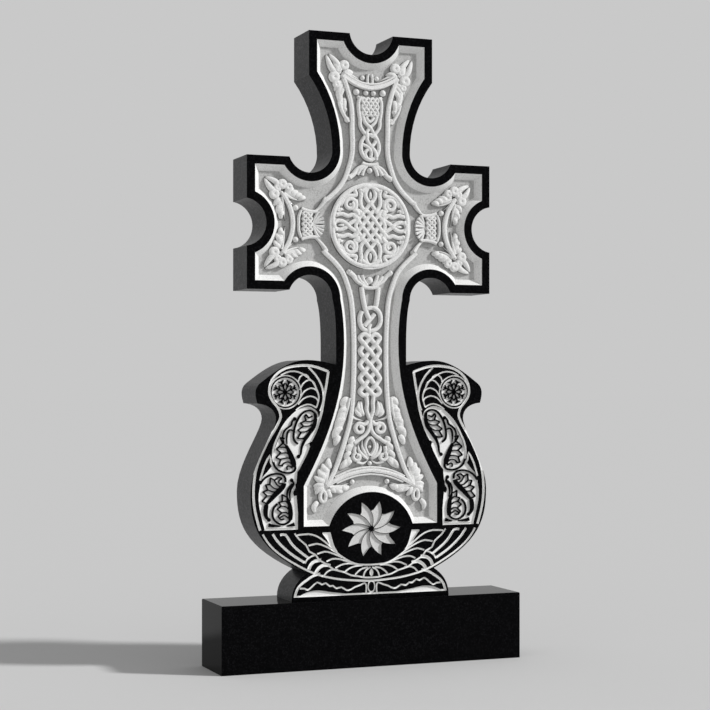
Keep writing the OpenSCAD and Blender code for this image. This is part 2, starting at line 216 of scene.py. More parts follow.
# %% Curve through the drawn points
def smooth(points, step=2.2, closed=False):
    """Points every step mm on a smooth curve through the drawn points (Catmull-Rom)."""
    p = [Vector((x, z, 0.0)) for x, z in points]
    count = len(p)
    spans = count if closed else count - 1
    made = []
    for i in range(spans):
        a, b = p[i], p[(i + 1) % count]
        before = p[i - 1] if closed or i > 0 else a
        after = p[(i + 2) % count] if closed or i + 2 < count else b
        ta, tb = (b - before) / 2, (after - a) / 2
        n = max(1, round((b - a).length / step))
        for j in range(n):
            t = j / n
            made.append((2 * t ** 3 - 3 * t ** 2 + 1) * a + (t ** 3 - 2 * t ** 2 + t) * ta
                        + (3 * t ** 2 - 2 * t ** 3) * b + (t ** 3 - t ** 2) * tb)
    if not closed:
        made.append(p[-1])
    return made


# %% Sections and tapers
TAPERS = {
    "even": lambda t: 1.0,
    "leaf": lambda t: 0.18 + 0.82 * math.sin(math.pi * min(1.0, 0.12 + 0.88 * t) ** 0.9) ** 0.8,
    "blade": lambda t: 0.45 + 0.55 * math.sin(math.pi * 0.5 * min(1.0, t / 0.6)) if t < 0.6
    else 0.2 + 0.8 * math.cos(math.pi * 0.5 * (t - 0.6) / 0.4),
    "tail": lambda t: 1.0 - 0.75 * t,
    "club": lambda t: 0.55 + 0.6 * t,
}


def section(width, height, sunk, square=False):
    """The closed outline that is swept along a stroke: upright sides and a rounded top."""
    curve = bpy.data.curves.new("section", "CURVE")
    curve.dimensions = "2D"
    half, lean = width / 2, 1.1
    if square:
        corners = [(-half, -sunk), (-half, height), (half, height), (half, -sunk)]
    else:
        crown = min(half * 0.55, height * 0.5)
        turns = [math.pi * (1 - i / 6) for i in range(7)]
        corners = [(-half - lean, -sunk)]
        corners += [(half * math.cos(a), height - crown + crown * math.sin(a)) for a in turns]
        corners += [(half + lean, -sunk)]
    spline = curve.splines.new("POLY")
    spline.points.add(len(corners) - 1)
    for point, (x, y) in zip(spline.points, corners):
        point.co = (x * MM, y * MM, 0.0, 1.0)
    spline.use_cyclic_u = True
    holder = bpy.data.objects.new("section", curve)
    bpy.context.scene.collection.objects.link(holder)
    return holder


def stroke(points, width=7.0, taper="even", height=12.0, closed=False, square=False, step=2.2):
    """One band: its path, its width and height in mm, and how it tapers."""
    return {"path": smooth(points, step, closed), "width": width, "taper": taper,
            "height": height, "closed": closed, "square": square}


def mirror_x(strokes):
    """The same strokes on the other side of the middle line."""
    return [dict(s, path=[Vector((-p.x, p.y, p.z)) for p in s["path"]]) for s in strokes]


def mirror_z(strokes, level):
    """The same strokes upside down, mirrored at a level."""
    return [dict(s, path=[Vector((p.x, 2 * level - p.y, p.z)) for p in s["path"]]) for s in strokes]


def both_sides(strokes):
    return strokes + mirror_x(strokes)


# %% Sweep the strokes into a mesh
def sweep(strokes, sunk=2.5):
    """Sweeps each stroke's section along its path: one bmesh for all, in the drawing's plane."""
    kinds = {}
    for s in strokes:
        kinds.setdefault((s["width"], s["height"], s["square"]), []).append(s)
    made = bmesh.new()
    for (width, height, square), group in kinds.items():
        curve = bpy.data.curves.new("band", "CURVE")
        curve.dimensions = "3D"
        curve.twist_mode = "Z_UP"
        holder = section(width, height, sunk, square)
        curve.bevel_mode = "OBJECT"
        curve.bevel_object = holder
        curve.use_fill_caps = True
        for s in group:
            spline = curve.splines.new("POLY")
            spline.points.add(len(s["path"]) - 1)
            last = max(1, len(s["path"]) - 1)
            for i, (point, at) in enumerate(zip(spline.points, s["path"])):
                point.co = (at.x * MM, at.y * MM, at.z * MM, 1.0)
                point.radius = TAPERS[s["taper"]](i / last)
            spline.use_cyclic_u = s["closed"]
        band = bpy.data.objects.new("band", curve)
        bpy.context.scene.collection.objects.link(band)
        swept = band.evaluated_get(bpy.context.evaluated_depsgraph_get())
        made.from_mesh(swept.to_mesh())
        swept.to_mesh_clear()
        for spent in (band, holder):
            bpy.data.objects.remove(spent)
    bmesh.ops.remove_doubles(made, verts=made.verts, dist=0.00001)
    return made


# %% [markdown]
# ## From the drawing to the slab
# A motif is drawn flat, then turned upright onto its ground. Berries and the hearts of scrolls are
# rounded studs set into the same mesh, so one motif is one piece.

# %% Place a motif
def to_face(depth):
    """Turns the drawing plane upright, with height 0 on a ground this deep under the face."""
    return Matrix.Translation((0, face_y + depth * MM, 0)) @ Matrix.Rotation(math.pi / 2, 4, "X")


def add_berries(mesh, berries):
    """Rounded studs (x, z, radius, height) that stand on the ground."""
    for x, z, radius, height in berries:
        ball = bmesh.ops.create_uvsphere(mesh, u_segments=14, v_segments=8, radius=radius * MM)
        bmesh.ops.scale(mesh, verts=ball["verts"], vec=(1, 1, height / radius))
        bmesh.ops.translate(mesh, verts=ball["verts"], vec=(x * MM, z * MM, 0))


def as_piece(name, mesh, material):
    """Makes the object, rides it on the stone and gives it its finish."""
    bmesh.ops.recalc_face_normals(mesh, faces=mesh.faces)
    for face in mesh.faces:
        face.smooth = True
    soft = math.radians(42)              # edges sharper than this stay crisp
    for edge in mesh.edges:
        edge.smooth = len(edge.link_faces) == 2 and edge.calc_face_angle(0) < soft
    data = bpy.data.meshes.new(name)
    mesh.to_mesh(data)
    mesh.free()
    data.materials.append(material)
    piece = bpy.data.objects.new(name, data)
    bpy.context.scene.collection.objects.link(piece)
    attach(piece, "root")
    print(name, "has", sum(len(p.vertices) - 2 for p in data.polygons), "triangles")
    return piece


def motif(name, strokes, berries=(), depth=panel_depth, material=carved_panel_painted_shade):
    mesh = sweep(strokes)
    add_berries(mesh, berries)
    bmesh.ops.transform(mesh, matrix=to_face(depth), verts=mesh.verts)
    return as_piece(name, mesh, material)


# %% [markdown]
# ## Weaving
# In interlace each strand goes over one crossing and under the next. Drawing that by hand for a
# hundred crossings invites mistakes, so the script finds the crossings, walks along each strand
# and lifts or lowers it at each one in turn.

# %% Over and under
def cross_point(a, b, c, d):
    """How far along a-b and c-d the two segments cross, or None."""
    r, s, q = b - a, d - c, c - a
    turn = r.x * s.y - r.y * s.x
    if abs(turn) < 1e-9:
        return None
    t, u = (q.x * s.y - q.y * s.x) / turn, (q.x * r.y - q.y * r.x) / turn
    return (t, u) if 0 <= t < 1 and 0 <= u < 1 else None


def find_crossings(strands):
    """Every crossing, as the place along each of the two strands."""
    segments = []
    for k, s in enumerate(strands):
        path = s["path"] + (s["path"][:1] if s["closed"] else [])
        segments += [(k, i, path[i], path[i + 1]) for i in range(len(path) - 1)]
    cells = {}
    cell = 6                             # mm, longer than any segment
    for n, (k, i, a, b) in enumerate(segments):
        m = (a + b) / 2
        cells.setdefault((int(m.x // cell), int(m.y // cell)), []).append(n)
    found = []
    for n, (k, i, a, b) in enumerate(segments):
        m = (a + b) / 2
        cx, cy = int(m.x // cell), int(m.y // cell)
        for dx in (-1, 0, 1):
            for dy in (-1, 0, 1):
                for o in cells.get((cx + dx, cy + dy), ()):
                    l, j, c, d = segments[o]
                    if o <= n or (k == l and abs(i - j) < 3):
                        continue
                    hit = cross_point(a, b, c, d)
                    if hit:
                        found.append(((k, i + hit[0]), (l, j + hit[1])))
    return found


def weave(strands, swing=1.5, reach=7.0):
    """Lifts and lowers the strands in turn where they cross."""
    found = find_crossings(strands)
    along = {k: [] for k in range(len(strands))}
    for n, (first, second) in enumerate(found):
        along[first[0]].append((first[1], n))
        along[second[0]].append((second[1], n))
    over = {}                            # (strand, place) -> +1 or -1
    settled = {}                         # crossing -> {(strand, place): sign}
    for k in sorted(along, key=lambda s: -len(along[s])):
        stops = sorted(along[k])
        sign = 1
        for m, (place, n) in enumerate(stops):
            if n in settled and (k, place) not in settled[n]:
                sign = -list(settled[n].values())[0] * (-1) ** m
                break
        for m, (place, n) in enumerate(stops):
            here = sign * (-1) ** m
            if n in settled:
                here = -list(settled[n].values())[0]
            settled.setdefault(n, {})[(k, place)] = here
            over[(k, place)] = here
    woven = []
    for k, s in enumerate(strands):
        stops = [(place, over[(k, place)]) for place, n in along[k]]
        path = []
        for i, p in enumerate(s["path"]):
            lift = 0.0
            for place, sign in stops:
                q = s["path"][int(place) % len(s["path"])]
                away = (Vector((p.x, p.y)) - Vector((q.x, q.y))).length
                gap = abs(i - place)
                if s["closed"]:
                    gap = min(gap, len(s["path"]) - gap)
                if gap < 6 and away < reach:
                    push = sign * swing * 0.5 * (1 + math.cos(math.pi * away / reach))
                    lift = push if abs(push) > abs(lift) else lift
            path.append(Vector((p.x, p.y, p.z + lift)))
        woven.append(dict(s, path=path))
    return woven


# %% [markdown]
# ## Plaits
# A plaited panel is the path of a ball that bounces inside a rectangle: it meets every side at the
# same spacing and closes on itself. Rounding the bounce gives the soft turns at the border.

# %% Bounced strand
def plait(centre, half, across, along, width=6.5, height=11.0, round_off=0.97, step=2.2):
    """One closed strand that fills a panel with a plait, 2*along strands side by side."""
    length = 4 * math.hypot(half[0] * across, half[1] * along)
    count = int(length / step)
    shift = math.pi / 2 - along * math.pi / (2 * across) + math.pi / (2 * across)

    def bounce(u):
        return math.asin(round_off * math.sin(u)) / math.asin(round_off)

    path = []
    for i in range(count):
        t = 2 * math.pi * i / count
        path.append(Vector((centre[0] + half[0] * bounce(across * t),
                            centre[1] + half[1] * bounce(along * t + shift), 0.0)))
    return {"path": path, "width": width, "taper": "even", "height": height, "closed": True,
            "square": False}


def ring(centre, rx, rz=None, width=6.0, height=11.0):
    rz = rx if rz is None else rz
    around = [(centre[0] + rx * math.cos(math.radians(a)), centre[1] + rz * math.sin(math.radians(a)))
              for a in range(0, 360, 30)]
    return stroke(around, width, "even", height, closed=True)


def spiral(centre, start, end, turns, begin_angle, width=7.0, height=12.0, taper="even", lead=()):
    """A scroll from radius start to radius end, with drawn points that lead into it."""
    n = max(6, int(abs(turns) * 12))
    points = list(lead)
    for i in range(n + 1):
        t = i / n
        a = math.radians(begin_angle + 360 * turns * t)
        r = start + (end - start) * t
        points.append((centre[0] + r * math.cos(a), centre[1] + r * math.sin(a)))
    return stroke(points, width, taper, height)


def drilled(x, z, radius, height=11.0):
    """A fleshy round lobe with a drilled eye."""
    return ring((x, z), radius * 0.52, None, radius * 0.96, height)


def blades(paths, width=11.0, height=11.0):
    """Leaf blades drawn one by one, each as its root, its bend and its tip."""
    return [stroke(path, width, "leaf", height) for path in paths]


def body(path, width, height=10.0):
    """The thick of a leaf, under its blades."""
    return stroke(path, width, "leaf", height)


print("helpers are ready")

# %% [markdown]
# ## The boss
# Where the arms cross, a round boss stands higher than the ground around it. A close weave fills
# its middle, strands with knobbed ends run from the weave to the rim on all four sides, scrolls
# fill the corners, and a rim of crossing arcs ties them all. One quarter is drawn and mirrored.

# %% Boss strands
def boss_quarter(z):
    """Strands between the weave and the rim, the scroll and the rim, for the upper right quarter."""
    around = [(105, 80), (98, 84), (90, 88.5), (78, 91.5), (62, 92), (45, 92), (28, 92), (12, 91), (0, 88),
              (-9, 82)]
    return [
        stroke([(8, z + 83), (12, z + 71), (8, z + 59), (-4, z + 46), (-14, z + 32)], 9.0, height=6.8),
        stroke([(25, z + 82), (22, z + 70), (24, z + 58), (22, z + 44), (12, z + 31)], 9.4, height=6.8),
        stroke([(84, z + 8), (73, z + 10), (61, z + 6), (48, z - 5), (34, z - 13)], 9.0, height=6.8),
        stroke([(83, z + 23), (68, z + 25), (54, z + 21), (42, z + 24), (30, z + 12)], 9.4, height=6.8),
        spiral((48, z + 47), 15.5, 6.5, -1.3, 235, 9.0, 6.8, lead=[(28, z + 24), (33, z + 32)]),
        stroke([(37, z + 79), (34, z + 69), (43, z + 67), (57, z + 65), (68, z + 55), (77, z + 42),
                (78, z + 30)],
               8.6, height=6.4),
        stroke([(64, z + 33), (71, z + 36), (75, z + 28)], 7.0, "blade", 6.2),
        stroke([(61, z + 62), (67, z + 50), (70, z + 40)], 7.0, "leaf", 6.2),
        stroke([(31, z + 60), (33, z + 50), (29, z + 42)], 6.8, "blade", 6.2),
        stroke([(r * math.cos(math.radians(a)), z + r * math.sin(math.radians(a))) for a, r in around],
               9.8, height=7.6),
    ]


quarter = boss_quarter(boss_z)
outer = quarter + mirror_x(quarter)
outer += mirror_z(outer, boss_z)
centre = plait((0, boss_z), (35, 34), 3, 4, 9.2, 6.6, 0.96)
strands = weave(outer + [centre], swing=1.3, reach=7.0)
for sign in (-1, 1):
    strands += blades([[(0, boss_z + sign * 60), (0.2, boss_z + sign * 69), (0, boss_z + sign * 79)],
                       [(sign * 62, boss_z), (sign * 70, boss_z + 0.2), (sign * 78, boss_z)]], 6.0, 6.0)
hearts = [(sx * 48, boss_z + sz * 47, 4.0, 5.8) for sx in (-1, 1) for sz in (-1, 1)]
knobs = [(sx * x, boss_z + sz * z, 6.0, 7.6) for sx in (-1, 1) for sz in (-1, 1)
         for x, z in ((24, 79), (80, 23), (37, 77))]
motif("boss_interlace", strands, hearts + knobs, depth=boss_depth, material=carved_boss_painted_shade)

# %% [markdown]
# ## The neck
# Up the neck run a palmette, two loose knots and a close plait, in a channel between two ribs.

# %% Neck
def palmette(root, spread):
    """Blades that open downwards from a root, the last a long one with a knobbed tip, for one side."""
    x, z = root
    made = [stroke([(x + 3 + 3.2 * k, z - 2), (x + 7 + 7.5 * k, z - (15 - 1.5 * k)),
                    (x + 8 + 11 * k, z - (27 - 1.2 * k))], 6.4, "even", 11.0)
            for k in range(1, 4)]
    made.append(stroke([(x + 15, z), (x + 30, z - 14), (x + spread * 0.78, z - 24), (x + spread, z - 32)],
                       9.5, "club", 11.6))
    return made


neck = both_sides(palmette((0, 1122), 50))
neck += [stroke([(-19, 1124), (-9, 1121), (9, 1121), (19, 1124)], 7.0, height=12.0)]
knots = weave([
    ring((0, 1160), 22, 28, 7.6),
    stroke([(-8, 1192), (-7, 1176), (2, 1162), (13, 1150), (15, 1134)], 7.4, height=11.5),
    stroke([(8, 1192), (15, 1182), (10, 1168), (-4, 1156), (-12, 1146), (-6, 1134), (6, 1130)], 7.0,
           height=11.0),
    stroke([(-20, 1166), (-8, 1162), (3, 1150), (2, 1136)], 6.4, height=10.5),
])
upper = weave([
    stroke([(-4, 1184), (-14, 1192), (-23, 1206), (-24, 1222), (-27, 1240), (-27, 1262), (-20, 1272)], 6.6,
           height=11.5),
    stroke([(4, 1184), (14, 1192), (23, 1206), (24, 1222), (27, 1240), (27, 1262), (20, 1272)], 6.6,
           height=11.5),
    stroke([(-17, 1230), (-12, 1216), (0, 1204), (8, 1192), (6, 1182)], 6.8, height=11.0),
    stroke([(17, 1230), (12, 1216), (0, 1204), (-8, 1192), (-6, 1182)], 6.8, height=11.0),
    stroke([(-10, 1228), (0, 1217), (10, 1228)], 6.0, height=10.5),
])
close_plait = weave([plait((0, 1250), (19.5, 20), 3, 4, 5.2, 11.0, 0.985)], 1.5, 5.0)
motif("neck_knots", neck + knots + upper + close_plait,
      [(0, 1108, 7.5, 11.5), (50, 1090, 6.8, 12.0), (-50, 1090, 6.8, 12.0)])

# %% [markdown]
# ## The lower shaft
# An upturned palmette, two ropes, a loop and a long plait of four strands come down the shaft.

# %% Shaft
shaft = mirror_z(both_sides(palmette((0, 1122), 50)), 984.5)
shaft += [stroke([(-20, 849), (-9, 845), (9, 845), (20, 849)], 7.5, height=12.0)]
ropes = weave([
    stroke([(-20, 846), (-17, 824), (-13, 804), (-8, 788), (-1, 774)], 9.6, height=11.5),
    stroke([(20, 846), (18, 824), (15, 806), (12, 797)], 10.4, height=11.5),
    stroke([(-8, 797), (6, 800), (20, 793), (26, 778), (23, 761), (11, 750), (-4, 748), (-17, 753),
            (-24, 766), (-24, 780), (-19, 792)], 9.0, height=11.5),
    stroke([(11, 786), (2, 775), (-9, 764), (-13, 758)], 9.0, height=11.0),
    stroke([(1, 764), (-3, 752), (-2, 738), (4, 726)], 8.0, height=11.0),
], 1.8, 8.0)
long_plait = weave([plait((0, 672), (24, 69), 5, 2, 9.4, 11.5, 0.985)], 2.0, 9.0)
motif("shaft_knots", shaft + ropes + long_plait,
      [(0, 861, 9.5, 11.5), (50, 879, 6.8, 12.0), (-50, 879, 6.8, 12.0)])

# %% [markdown]
# ## The tree at the foot of the shaft
# The strands end in stems, which part into two scrolls over a bud between two smaller scrolls.
# Leaves climb on both sides, each a few blades over a thicker body.

# %% Tree
tree = weave(both_sides([
    stroke([(9, 604), (7, 586), (8, 570), (2, 553), (-1, 541), (-3, 527), (-11, 515), (-24, 506),
            (-38, 497)],
           7.4, "even", 11.5),
    spiral((24.5, 529), 12.5, 5.5, -1.15, 130, 7.8, 11.5, lead=[(5, 546), (10, 540)]),
    stroke([(46, 560), (36, 552), (22, 548), (10, 545)], 6.0, "tail", 10.5),
]), swing=1.2, reach=6.0)
tree += both_sides(blades([
    [(14, 558), (21, 572), (20, 592)], [(18, 560), (27, 574), (26, 590)], [(20, 556), (31, 566), (31, 580)],
], 8.5, 10.5))
tree += both_sides([
    stroke([(0, 510), (8, 502), (11.5, 490), (8, 478), (1, 468)], 5.4, "even", 11.5),
    stroke([(2, 462), (12, 474), (18, 488), (17, 503)], 6.5, "leaf", 11.0),
    stroke([(4, 460), (18, 470), (26, 481), (27, 494)], 6.5, "leaf", 11.0),
    spiral((31, 466), 10.5, 4.5, -0.95, 60, 7.0, 11.5, lead=[(36, 489), (38, 478)]),
    stroke([(32, 455), (18, 451), (8, 455), (0, 462)], 7.0, "tail", 11.0),
])
tree += both_sides([body([(20, 556), (24, 572), (25, 592)], 13, 7.5),
                    body([(38, 506), (46, 490), (50, 468)], 12),
                    body([(46, 466), (56, 452), (70, 438)], 13)])
tree += both_sides(blades([
    [(37, 508), (45, 505), (50, 494)], [(42, 494), (52, 487), (54, 473)], [(45, 478), (56, 470), (59, 457)],
    [(44, 460), (52, 452), (58, 442)], [(54, 460), (64, 449), (72, 437)],
], 10.5, 10.8))
motif("shaft_tree", tree, [(0, 488, 4.0, 10.0), (0, 451, 6.0, 10.5), (31, 466, 3.5, 10),
                           (-31, 466, 3.5, 10)])

# %% [markdown]
# ## The top arm
# Under the notched end hangs a garland: a double band between two drilled lobes, with leaves above
# it and sprays that run down outside the ribs.

# %% Top arm
top_arm = [drilled(62, 1340, 12.0, 11.5), drilled(76, 1331, 8.5), drilled(85, 1313, 13.0, 11.5),
           drilled(80, 1297, 8.5)]
top_arm += [body([(66, 1308), (73, 1284), (70, 1260), (61, 1236)], 15)]
top_arm += blades([
    [(72, 1322), (78, 1342), (98, 1364)], [(74, 1318), (92, 1332), (104, 1362)],
    [(73, 1320), (82, 1342), (84, 1358)],
    [(66, 1318), (52, 1326), (38, 1324)],
], 12.5, 11.5)
top_arm += blades([
    [(64, 1306), (78, 1296), (84, 1280)], [(63, 1302), (75, 1286), (79, 1268)],
    [(60, 1294), (70, 1276), (72, 1258)],
    [(70, 1266), (69, 1250), (62, 1236)], [(60, 1268), (62, 1248), (58, 1230)],
], 10.5, 10.5)
top_arm += [
    stroke([(0, 1301), (22, 1304), (44, 1313), (62, 1324)], 4.6, "even", 11.5),
    stroke([(0, 1290), (24, 1294), (46, 1303), (64, 1314)], 4.6, "even", 12.6),
    stroke([(60, 1320), (46, 1320), (32, 1314), (18, 1307)], 6.0, "tail", 10.5),
    stroke([(5, 1301), (6, 1312), (4, 1324)], 5.0, "even", 10.0),
    stroke([(60, 1308), (55, 1284), (49, 1262), (45, 1240)], 4.6, "tail", 12.0),
    stroke([(74, 1258), (68, 1240), (60, 1226), (51, 1214)], 6.0, "even", 11.0),
]
berries = [(9, 1282, 7.0, 10.0), (32, 1283, 8.5, 10.5), (17, 1315, 6.5, 9.5), (66, 1315, 6.0, 12.6),
           (27, 1271, 5.0, 9.0), (60, 1242, 7.0, 10.5), (54, 1220, 8.0, 10.5)]
motif("top_garland", both_sides(top_arm), berries + [(-x, z, r, h) for x, z, r, h in berries])

# %% [markdown]
# ## The side arms
# Each arm has a plait between two bars, a palmette that opens towards the boss, and at the tie a
# spray of leaves and drilled lobes above and below. One arm's upper half is drawn, and then
# mirrored down and across.

# %% Side arms
level = boss_z
arm = [
    stroke([(126, level + 29), (138, level + 28), (152, level + 30), (163, level + 34)], 7.0, "even", 11.5),
    stroke([(164, level + 30), (169, level + 16), (170, level)], 5.0, "even", 11.0),
    stroke([(132, level + 28), (122, level + 36), (113, level + 46), (107, level + 55)], 7.5, "club", 11.5),
]
for turn in (9, 27, 45, 62):
    ahead = Vector((-math.cos(math.radians(turn)), math.sin(math.radians(turn))))
    tip = Vector((139, level)) + ahead * (28 + turn * 0.08)
    arm.append(stroke([(136, level + 1), tuple((Vector((137, level)) + tip) / 2 + Vector((0, 1.5))),
                       tuple(tip)],
                      5.6, "club", 10.8))
spray = [drilled(208, level + 86, 11.5, 11.5), drilled(193, level + 80, 9.5),
         drilled(226, level + 64, 12.0, 11.5),
         drilled(219, level + 78, 8.5)]
spray += [body([(202, level + 68), (186, level + 67), (170, level + 62), (153, level + 57)], 18),
          body([(207, level + 56), (213, level + 36), (208, level + 8)], 16)]
spray += blades([
    [(214, level + 70), (222, level + 90), (247, level + 101)],
    [(216, level + 66), (234, level + 76), (249, level + 98)],
], 12.0, 11.5)
spray += blades([
    [(200, level + 68), (190, level + 76), (178, level + 77)],
    [(190, level + 63), (180, level + 70), (168, level + 71)],
    [(180, level + 58), (170, level + 64), (159, level + 64)],
    [(170, level + 54), (161, level + 58), (151, level + 57)],
    [(210, level + 54), (221, level + 48), (226, level + 36)],
    [(207, level + 40), (217, level + 32), (219, level + 20)],
    [(204, level + 26), (211, level + 18), (210, level + 8)],
], 10.5, 10.8)
spray += [
    stroke([(204, level + 66), (188, level + 57), (170, level + 52), (154, level + 53)], 5.5, "tail", 12.0),
    stroke([(209, level + 58), (205, level + 38), (202, level + 18), (200, level + 6)], 5.5, "tail", 12.0),
    stroke([(204, level + 64), (194, level + 52), (184, level + 44), (178, level + 38)], 5.0, "tail", 10.0),
]
arm_plait = weave([plait((149.5, level), (10.5, 26), 5, 2, 5.0, 11.0, 0.98)], 1.4, 4.5)
half_arm = arm + spray
whole_arm = half_arm + mirror_z(half_arm, level) + arm_plait
berries = [(176, level + s * 35, 7.5, 10.5) for s in (-1, 1)]
berries += [(209, level + s * 66, 6.0, 12.0) for s in (-1, 1)]
berries += [(105, level + s * 57, 6.5, 11.5) for s in (-1, 1)] + [(139, level, 4.5, 11.5)]
motif("arm_carving", both_sides(whole_arm), berries + [(-x, z, r, h) for x, z, r, h in berries])

# %% [markdown]
# ## Leaves on the skirt
# Where the shaft widens, long leaves climb outside the ribs, and a spray opens in each corner.

# %% Skirt
skirt = [
    body([(54, 592), (62, 572), (70, 550), (78, 526), (85, 496)], 20),
    body([(104, 404), (110, 420), (107, 436), (99, 456)], 27),
    body([(104, 404), (118, 400), (132, 391)], 24), body([(100, 400), (84, 396), (66, 396), (48, 403)], 17),
]
skirt += blades([
    [(47, 590), (58, 594), (66, 583), (60, 576)], [(52, 570), (66, 570), (74, 556)],
    [(58, 552), (74, 547), (82, 530)],
    [(66, 532), (81, 524), (88, 506)], [(73, 514), (80, 502), (84, 490)],
    [(96, 440), (99, 453), (97, 465)], [(99, 432), (109, 441), (112, 453)],
    [(102, 422), (116, 428), (122, 441)],
    [(105, 411), (121, 416), (133, 425)],
], 13.5, 11.0)
skirt += blades([
    [(106, 403), (121, 405), (135, 401)], [(106, 400), (122, 394), (130, 382)],
    [(101, 398), (98, 385), (89, 376)],
    [(96, 400), (86, 392), (74, 388)], [(84, 396), (72, 390), (60, 393)], [(70, 398), (58, 396), (48, 402)],
    [(124, 368), (133, 356), (130, 342)],
], 11.5, 10.5)
skirt += [
    ring((112, 379), 6.5, 12.0, 7.0, 10.5),
    stroke([(50, 598), (54, 574), (61, 549), (70, 524), (83, 498)], 6.0, "tail", 12.6),
    stroke([(106, 406), (102, 422), (96, 440), (94, 456)], 6.0, "tail", 12.4),
    stroke([(98, 400), (84, 399), (66, 402), (46, 409)], 5.5, "tail", 12.0),
    stroke([(0, 427), (28, 424.5), (54, 418), (80, 408)], 4.0, "even", 11.0),
    stroke([(0, 442.5), (28, 440), (56, 433), (84, 421)], 4.0, "even", 11.0),
]
skirt_berries = [(104, 403, 7.5, 12.6), (42, 410, 6.5, 11.0)]
motif("skirt_leaves", both_sides(skirt), skirt_berries + [(-x, z, r, h) for x, z, r, h in skirt_berries])

# %% [markdown]
# ## Rounded ribs
# The construction model has the ribs as flat bands. The carver rounds them over, so a slightly
# wider rounded band is laid over each.

# %% Ribs
shaft_rib = [(102, 406), (86, 434), (72, 468), (58, 510), (47, 550), (42, 595), (39, 650), (38.5, 710),
             (39.5, 750), (42, 790), (46, 822), (54, 850), (66, 878), (84, 900), (104, 918), (112, 926)]
neck_rib = [(112, 1038), (106, 1038), (90, 1051), (74, 1067), (60, 1088), (51, 1112), (44.5, 1135),
            (42, 1160), (43, 1200), (43.5, 1235), (47, 1260), (55, 1288), (64, 1312)]
arch_rib = [(104, 403), (78, 417), (52, 427), (26, 433), (0, 435.5), (-26, 433), (-52, 427), (-78, 417),
            (-104, 403)]
tie_rib = [(207, 1048), (193, 1025), (185.5, 1003), (183, 983), (185.5, 963), (193, 941), (207, 918)]
ribs = both_sides([stroke(shaft_rib, 8.8, height=12.8), stroke(neck_rib, 8.8, height=12.8),
                   stroke(tie_rib, 8.8, height=12.8)])
ribs += [stroke(arch_rib, 8.8, height=12.8)]
motif("ribs", ribs)

# %% [markdown]
# ## Cuts on the wings
# Between the bird's border lines the carver sinks the whole field and leaves the leaves' outlines
# standing, so the picture is drawn by thin polished lines on pale stone. The field is one flat
# shape pushed into the face, taken out of a copy of the slab by a Boolean, and the lines are
# strokes with a square section that rise from the field's ground to the face.

# %% The sunk field of one wing
field = [(177.5, 313), (177.5, 378), (186, 384), (185, 392), (180, 400), (180, 430), (171, 441), (161, 459),
         (152, 476), (146, 491), (153, 498), (144, 506), (137, 518), (131, 533), (127, 550), (127, 562),
         (134, 571), (146, 576), (158, 576), (170, 572), (184, 563), (196, 551), (206, 538), (213, 521),
         (221, 505), (227, 490), (231, 474), (232, 456), (236, 448), (246, 436), (256, 426), (262, 412),
         (263, 390), (262, 362), (257, 338), (251, 313)]


def field_tool(side):
    """The field as a block that reaches from in front of the face to the depth of the cut."""
    mesh = bmesh.new()
    outline = [mesh.verts.new((side * x * MM, z * MM, -cut_depth * MM)) for x, z in field]
    made = bmesh.ops.extrude_face_region(mesh, geom=[mesh.faces.new(outline)])
    top = [v for v in made["geom"] if isinstance(v, bmesh.types.BMVert)]
    bmesh.ops.translate(mesh, verts=top, vec=(0, 0, 2 * cut_depth * MM))
    bmesh.ops.transform(mesh, matrix=to_face(0.0), verts=mesh.verts)
    bmesh.ops.recalc_face_normals(mesh, faces=mesh.faces)
    return mesh


print("the field has", len(field), "corners")

# %% [markdown]
# ### The standing lines
# Four leaves fill the field. Each has a thick spine that ends in a curled tendril with a dot, a
# saw-toothed edge, ribs that part the lobes, and an outline that closes the drop it lies in.

# %% Lines of the four leaves
spines = [
    ([(134, 563), (133, 552), (136, 540), (143, 527), (151, 514), (159, 503), (165, 489), (167, 475),
      (171, 469)], 6.0),
    ([(132, 552), (137, 534), (146, 521), (156, 506)], 7.0),
    ([(184, 446), (184, 455), (189, 468), (195, 482), (201, 494)], 9.5),
    ([(186, 526), (193, 528), (198, 522), (200, 510), (199, 496)], 3.2),
    ([(182, 552), (187, 547), (190, 538), (199, 532), (207, 523), (209, 511), (206, 500)], 3.4),
    ([(206, 411), (208, 405), (216, 396), (227, 386), (238, 374), (247, 365)], 9.5),
    ([(247, 365), (249, 352), (248, 340), (242, 331)], 8.5),
    ([(192, 330), (191, 342), (192, 354), (194, 366), (199, 378)], 8.5),
    ([(188, 417), (184, 409), (190, 398), (193, 386), (191, 372)], 3.6),
    ([(187, 409), (195, 400), (199, 389), (198, 376)], 3.6),
]
outlines = [
    [(131, 556), (134, 564), (144, 570), (156, 569), (166, 562), (175, 549), (181, 534), (184, 516),
     (182, 504), (174, 497)],
    [(181, 450), (180, 442), (185, 436), (195, 433.5), (206, 434.5), (218, 439), (227, 447), (231, 458)],
    [(203, 413), (204, 423), (212, 430), (225, 432), (240, 429), (253, 421), (262, 410)],
    [(190, 336), (194, 327), (203, 321.5), (214, 321), (224, 326), (231, 334), (233, 345), (230, 357),
     (222, 366)],
]
edges = [
    [(140, 558), (149, 554), (155, 562), (158, 557), (155, 548), (168, 543), (161, 536), (174, 527),
     (167, 522), (175, 509), (161, 508)],
    [(205, 509), (215, 511), (209, 499), (224, 486), (214, 478), (225, 467), (214, 463), (219, 450),
     (209, 449)],
    [(211, 422), (220, 424), (228, 418), (238, 423), (239, 409), (249, 408), (244, 397), (255, 393),
     (246, 384), (257, 372), (249, 368)],
    [(200, 380), (211, 386), (210, 371), (219, 369), (213, 361), (222, 354), (212, 346), (220, 338),
     (214, 331), (206, 332)],
]
